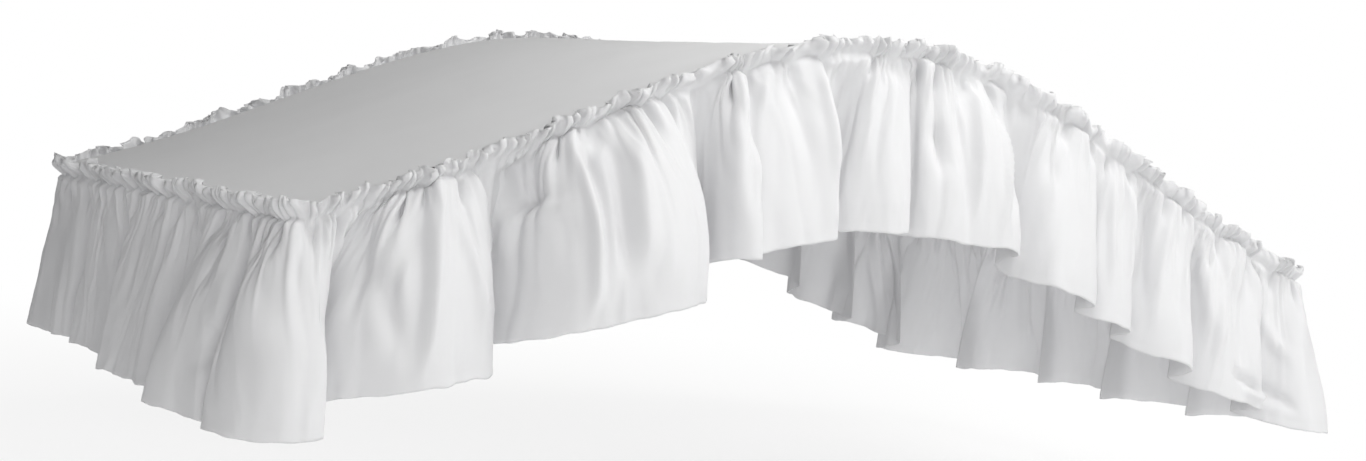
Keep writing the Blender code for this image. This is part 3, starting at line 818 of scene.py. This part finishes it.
def round_corner(x, y, half_length, half_width, radius):
    """Moves a place near a square corner so that the corner becomes round."""
    past_x = max(0.0, (abs(x) - (half_length - radius)) / radius)
    past_y = max(0.0, (abs(y) - (half_width - radius)) / radius)
    if not (past_x and past_y):
        return x, y
    round_x = half_length - radius + radius * past_x * math.sqrt(1 - past_y * past_y / 2)
    round_y = half_width - radius + radius * past_y * math.sqrt(1 - past_x * past_x / 2)
    return math.copysign(round_x, x), math.copysign(round_y, y)


def corner_outward(x, y, half_length, half_width, radius):
    """The way out from a place on the rounded edge."""
    out_x = max(0.0, abs(x) - (half_length - radius))
    out_y = max(0.0, abs(y) - (half_width - radius))
    way = Vector((math.copysign(out_x, x), math.copysign(out_y, y), 0.0))
    return way.normalized()


class COVER_OT_deck(bpy.types.Operator):
    """Make the deck panel, stretched over the arch with its edge turned down to the seam"""

    bl_idname = "cover.deck"
    bl_label = "Deck panel"

    def execute(self, context):
        sizes = context.scene.cover_deck
        look = context.scene.cover_cotton
        mesh = deck_mesh(sizes)
        material = cotton("deck_cotton", look.deck_colour, look.deck_sheerness, look)
        piece = show_cloth("deck_panel", mesh, "deck", material, sizes.cloth)
        piece.modifiers["Thickness"].offset = -1.0
        return {"FINISHED"}


def sort_number(place):
    """One number for a place on the flat deck, so that its mesh has the same order on every run."""
    x, y, z = (round(value / SORT_STEP) for value in place)
    return (x * 1e6 + y) * 1e4 + z


def deck_mesh(sizes):
    """A fine grid with rounded corners, its rim extruded round the edge and down to the seam."""
    half_length = HALF_LENGTH - sizes.rim
    half_width = HALF_WIDTH - sizes.rim
    radius = DECK_CORNER_RADIUS - sizes.rim
    shape = bmesh.new()
    bmesh.ops.create_grid(shape, x_segments=sizes.stations, y_segments=sizes.lanes, size=1.0)
    for vertex in shape.verts:
        x, y = vertex.co.x * half_length, vertex.co.y * half_width
        vertex.co.x, vertex.co.y = round_corner(x, y, half_length, half_width, radius)
    rim = [edge for edge in shape.edges if edge.is_boundary]
    turns = [(sizes.rim * math.sin(a), sizes.rim * (math.cos(a) - 1)) for a in np.radians([30, 60, 90])]
    depths = np.linspace(sizes.rim, SEAM_DEPTH, 5)[1:]
    turns += [(sizes.rim, -float(depth)) for depth in depths]
    out_before, height_before = 0.0, 0.0
    for out, height in turns:
        made = bmesh.ops.extrude_edge_only(shape, edges=rim)["geom"]
        rim = [item for item in made if isinstance(item, bmesh.types.BMEdge) and item.is_boundary]
        fresh = {vertex for edge in rim for vertex in edge.verts}
        for vertex in fresh:
            way = corner_outward(vertex.co.x, vertex.co.y, half_length, half_width, radius)
            vertex.co += way * (out - out_before)
            vertex.co.z += height - height_before
        out_before, height_before = out, height
    bmesh.ops.recalc_face_normals(shape, faces=shape.faces)
    shape.faces.ensure_lookup_table()
    middle = max(shape.faces, key=lambda face: face.calc_center_median().z)
    if middle.normal.z < 0:
        bmesh.ops.reverse_faces(shape, faces=shape.faces)
    shape.verts.sort(key=lambda vertex: sort_number(vertex.co))
    shape.edges.sort(key=lambda edge: sort_number(edge.verts[0].co + edge.verts[1].co))
    shape.faces.sort(key=lambda face: sort_number(face.calc_center_median()))
    mesh = bpy.data.meshes.new("deck_panel")
    shape.to_mesh(mesh)
    shape.free()
    drape_deck(mesh, sizes)
    return mesh


def drape_deck(mesh, sizes):
    """Bend the flat panel over the arch, with its sag, its puckers at the seam and its map in metres."""
    places = np.empty(len(mesh.vertices) * 3, np.float32)
    mesh.vertices.foreach_get("co", places)
    places = places.reshape(-1, 3).astype(float)
    x, y, turned = places[:, 0], places[:, 1], places[:, 2].copy()
    edge = np.minimum(HALF_LENGTH - np.abs(x), HALF_WIDTH - np.abs(y))
    on_end = (HALF_LENGTH - np.abs(x)) < (HALF_WIDTH - np.abs(y))
    along = np.where(on_end, y, x)
    gathers = np.sin(2 * np.pi * along / PUCKER_PITCH + 2.4 * wander(along / 0.07, 3))
    gathers = gathers * (1 + 0.6 * wander(along / 0.05, 5))
    reach = PUCKER_REACH * (1 + 0.5 * wander(along / 0.06, 4))
    flat = turned > -1e-6
    pucker = sizes.pucker * gathers * np.exp(-edge / reach) * ease(edge / 0.012)
    sag = sizes.sag * (1 - (y / HALF_WIDTH) ** 2) * (1 - (x / HALF_LENGTH) ** 2)
    soft = WIDE_SOFTNESS * lumps(x / 0.23 + 9, y / 0.11, 21)
    soft = (soft + FINE_SOFTNESS * lumps(x / 0.07, y / 0.05 + 4, 22)) * ease(edge / 0.08)
    places[:, 2] = arch_height(x) + SOLID_THICKNESS + turned + np.where(flat, pucker - sag + soft, 0.0)
    mesh.vertices.foreach_set("co", places.astype(np.float32).ravel())
    layer = mesh.uv_layers.new(name="cloth")
    corners = np.empty(len(mesh.loops), np.int32)
    mesh.loops.foreach_get("vertex_index", corners)
    layer.data.foreach_set("uv", places[corners][:, :2].astype(np.float32).ravel())
    mesh.update()
    mesh.shade_smooth()


class Wire:
    """A number socket of a shader. Arithmetic on it adds Math nodes."""

    def __init__(self, tree, socket):
        self.tree = tree
        self.socket = socket

    def maths(self, operation, *values):
        node = self.tree.add("ShaderNodeMath", {"operation": operation}, dict(enumerate((self, *values))))
        return Wire(self.tree, node.outputs[0])

    def __add__(self, other):
        return self.maths("ADD", other)

    def __sub__(self, other):
        return self.maths("SUBTRACT", other)

    def __rsub__(self, other):
        return self * -1.0 + other

    def __mul__(self, other):
        return self.maths("MULTIPLY", other)

    __radd__ = __add__
    __rmul__ = __mul__

    def sine(self):
        return self.maths("SINE")


class ShaderTree:
    """The node tree of a material or of the world, filled in by one method."""

    def __init__(self, owner):
        owner.use_nodes = True
        self.nodes = owner.node_tree.nodes
        self.links = owner.node_tree.links
        self.nodes.clear()

    def add(self, kind, settings=None, sockets=None):
        """Adds a node, gives it its settings, and then fills its sockets with values or links."""
        node = self.nodes.new(kind)
        for name, value in (settings or {}).items():
            setattr(node, name, value)
        for name, value in (sockets or {}).items():
            if isinstance(value, Wire):
                value = value.socket
            if isinstance(value, bpy.types.NodeSocket):
                self.links.new(value, node.inputs[name])
            else:
                node.inputs[name].default_value = value
        return node

    def finish(self, share, first, second):
        """Mixes two surfaces, the second by a share, into the material's output."""
        sockets = {0: share, 1: first.outputs[0], 2: second.outputs[0]}
        mixed = self.add("ShaderNodeMixShader", sockets=sockets)
        self.add("ShaderNodeOutputMaterial", sockets={0: mixed.outputs[0]})


def cotton(name, colour, sheerness, look):
    """Plain woven cotton: a fine weave with slubs, faint mottling, a soft sheen and light let through."""
    material = bpy.data.materials.new(name)
    tree = ShaderTree(material)
    cloth_map = tree.add("ShaderNodeUVMap", {"uv_map": "cloth"})
    split = tree.add("ShaderNodeSeparateXYZ", sockets={0: cloth_map.outputs[0]})
    warp = (Wire(tree, split.outputs[0]) * (2 * math.pi / look.thread)).sine()
    weft = (Wire(tree, split.outputs[1]) * (2 * math.pi / look.thread)).sine()
    warp_slub = stretched_noise(tree, cloth_map, (SLUB_FINE, SLUB_LONG, 1.0))
    weft_slub = stretched_noise(tree, cloth_map, (SLUB_LONG, SLUB_FINE, 1.0))
    mottle = stretched_noise(tree, cloth_map, MOTTLE_SCALE)
    relief = warp * weft * WEAVE_RELIEF + warp_slub * SLUB_RELIEF + weft_slub * SLUB_RELIEF
    bump = tree.add("ShaderNodeBump", sockets={"Strength": 0.35, "Distance": 0.0002, "Height": relief})
    shade = DARKEST_SHADE + mottle * MOTTLE_SHADE + (warp_slub + weft_slub) * SLUB_SHADE
    tint = tree.add("ShaderNodeVectorMath", {"operation": "SCALE"}, {0: tuple(colour), "Scale": shade})
    surface = tree.add(
        "ShaderNodeBsdfPrincipled",
        sockets={
            "Base Color": tint.outputs[0],
            "Roughness": look.roughness - MOTTLE_DULLNESS / 2 + mottle * MOTTLE_DULLNESS,
            "Specular IOR Level": 0.25,
            "Sheen Weight": look.sheen,
            "Sheen Roughness": 0.5,
            "Normal": bump.outputs[0],
        },
    )
    through = tree.add("ShaderNodeBsdfTranslucent", sockets={"Color": (*colour, 1.0)})
    tree.finish(sheerness, surface, through)
    return material


def stretched_noise(tree, cloth_map, scale):
    """Noise on the cloth's own map, in patches stretched one way."""
    mapping = tree.add("ShaderNodeMapping", sockets={"Vector": cloth_map.outputs[0], "Scale": scale})
    sockets = {"Vector": mapping.outputs[0], "Scale": 1.0, "Detail": 2.0}
    return Wire(tree, tree.add("ShaderNodeTexNoise", sockets=sockets).outputs[0])


class COVER_OT_studio(bpy.types.Operator):
    """Make the pale floor, the soft lights and the camera"""

    bl_idname = "cover.studio"
    bl_label = "Studio"

    def execute(self, context):
        look = context.scene.cover_studio
        context.scene.view_settings.view_transform = "Standard"
        add_floor(look)
        light_surround(context.scene, look)
        for lamp in LAMPS:
            add_soft_light(lamp, look)
        add_camera(context.scene, look)
        return {"FINISHED"}


def add_floor(look):
    """A wide pale floor that fades into the surround a few metres out, so that no horizon shows."""
    bpy.ops.object.select_all(action="DESELECT")
    place = (0, 0, CAD_BOX[0].z - look.floor_gap)
    bpy.ops.mesh.primitive_circle_add(vertices=64, radius=FLOOR_RADIUS, fill_type="NGON", location=place)
    floor = bpy.context.object
    floor.name = "floor"
    material = bpy.data.materials.new("pale_floor")
    tree = ShaderTree(material)
    centre = tree.add("ShaderNodeTexCoord").outputs["Object"]
    distance = tree.add("ShaderNodeVectorMath", {"operation": "LENGTH"}, {0: centre})
    fade = tree.add(
        "ShaderNodeMapRange",
        {"interpolation_type": "SMOOTHSTEP"},
        {
            "Value": distance.outputs["Value"],
            "From Min": 0.0,
            "From Max": FLOOR_FADE,
            "To Min": NEAR_GLOW,
            "To Max": 1.0,
        },
    )
    seen = Wire(tree, tree.add("ShaderNodeLightPath").outputs["Is Camera Ray"])
    glow_share = Wire(tree, fade.outputs[0]) * (1 - (1 - seen) * GLOW_HELD_BACK)
    surface = tree.add(
        "ShaderNodeBsdfPrincipled",
        sockets={"Base Color": (*look.floor_colour, 1.0), "Roughness": 0.7, "Specular IOR Level": 0.2},
    )
    glow = tree.add("ShaderNodeEmission", sockets={"Color": WHITE, "Strength": 1.0})
    tree.finish(glow_share, surface, glow)
    floor.data.materials.append(material)


def light_surround(scene, look):
    """An even white surround, seen as plain white and giving a softer light."""
    world = bpy.data.worlds.new("studio")
    scene.world = world
    tree = ShaderTree(world)
    seen = Wire(tree, tree.add("ShaderNodeLightPath").outputs["Is Camera Ray"])
    strength = seen * (1.0 - look.surround) + look.surround
    sky = tree.add("ShaderNodeBackground", sockets={"Color": WHITE, "Strength": strength})
    tree.add("ShaderNodeOutputWorld", sockets={0: sky.outputs[0]})


def add_soft_light(lamp, look):
    """A large square light aimed at the cover."""
    data = bpy.data.lights.new(lamp.name + "_light", "AREA")
    data.energy = getattr(look, lamp.name + "_power")
    data.color = look.light_colour
    data.size = lamp.size
    light = bpy.data.objects.new(lamp.name + "_light", data)
    bpy.context.scene.collection.objects.link(light)
    light.location = lamp.place
    light.visible_camera = False
    aim = Vector(LIGHTS_AIM) - Vector(lamp.place)
    light.rotation_mode = "QUATERNION"
    light.rotation_quaternion = aim.to_track_quat("-Z", "Y")


def add_camera(scene, look):
    """The camera at the photograph's place, heading, tilt and roll."""
    heading, tilt, roll = look.camera_heading, look.camera_tilt, look.camera_roll
    level = math.cos(tilt)
    forward = Vector((level * math.cos(heading), level * math.sin(heading), math.sin(tilt)))
    right = Vector((math.sin(heading), -math.cos(heading), 0.0))
    up = right.cross(forward)
    leaned_right = math.cos(roll) * right + math.sin(roll) * up
    leaned_up = -math.sin(roll) * right + math.cos(roll) * up
    turned = Matrix((leaned_right, leaned_up, -forward)).transposed()
    camera = bpy.data.objects.new("camera", bpy.data.cameras.new("camera"))
    scene.collection.objects.link(camera)
    camera.matrix_world = Matrix.Translation(look.camera_place) @ turned.to_4x4()
    camera.data.lens = look.lens
    camera.data.sensor_width = 36.0
    scene.camera = camera


class COVER_PT_panel(bpy.types.Panel):
    """The cover's pieces and their sizes"""

    bl_idname = "COVER_PT_panel"
    bl_label = "Canopy cover"
    bl_space_type = "VIEW_3D"
    bl_region_type = "UI"
    bl_category = "Canopy cover"

    def draw(self, context):
        for operator, group_name in PANEL_ROWS:
            box = self.layout.box()
            if operator:
                box.operator(operator.bl_idname)
            group = getattr(context.scene, group_name)
            for name in group.__annotations__:
                box.prop(group, name)


GROUPS = {
    "cover_ruffle": RuffleSizes,
    "cover_deck": DeckSizes,
    "cover_cotton": CottonLook,
    "cover_studio": StudioLook,
}
PANEL_ROWS = (
    (COVER_OT_deck, "cover_deck"),
    (COVER_OT_ruffle, "cover_ruffle"),
    (None, "cover_cotton"),
    (COVER_OT_studio, "cover_studio"),
)
CLASSES = (*GROUPS.values(), COVER_OT_deck, COVER_OT_ruffle, COVER_OT_studio, COVER_PT_panel)


def register():
    for item in CLASSES:
        bpy.utils.register_class(item)
    for name, group in GROUPS.items():
        setattr(bpy.types.Scene, name, PointerProperty(type=group))


def unregister():
    for name in GROUPS:
        delattr(bpy.types.Scene, name)
    for item in reversed(CLASSES):
        bpy.utils.unregister_class(item)


def main():
    register()
    bpy.ops.cover.deck()
    bpy.ops.cover.ruffle()
    bpy.ops.cover.studio()


if __name__ == "__main__":
    main()
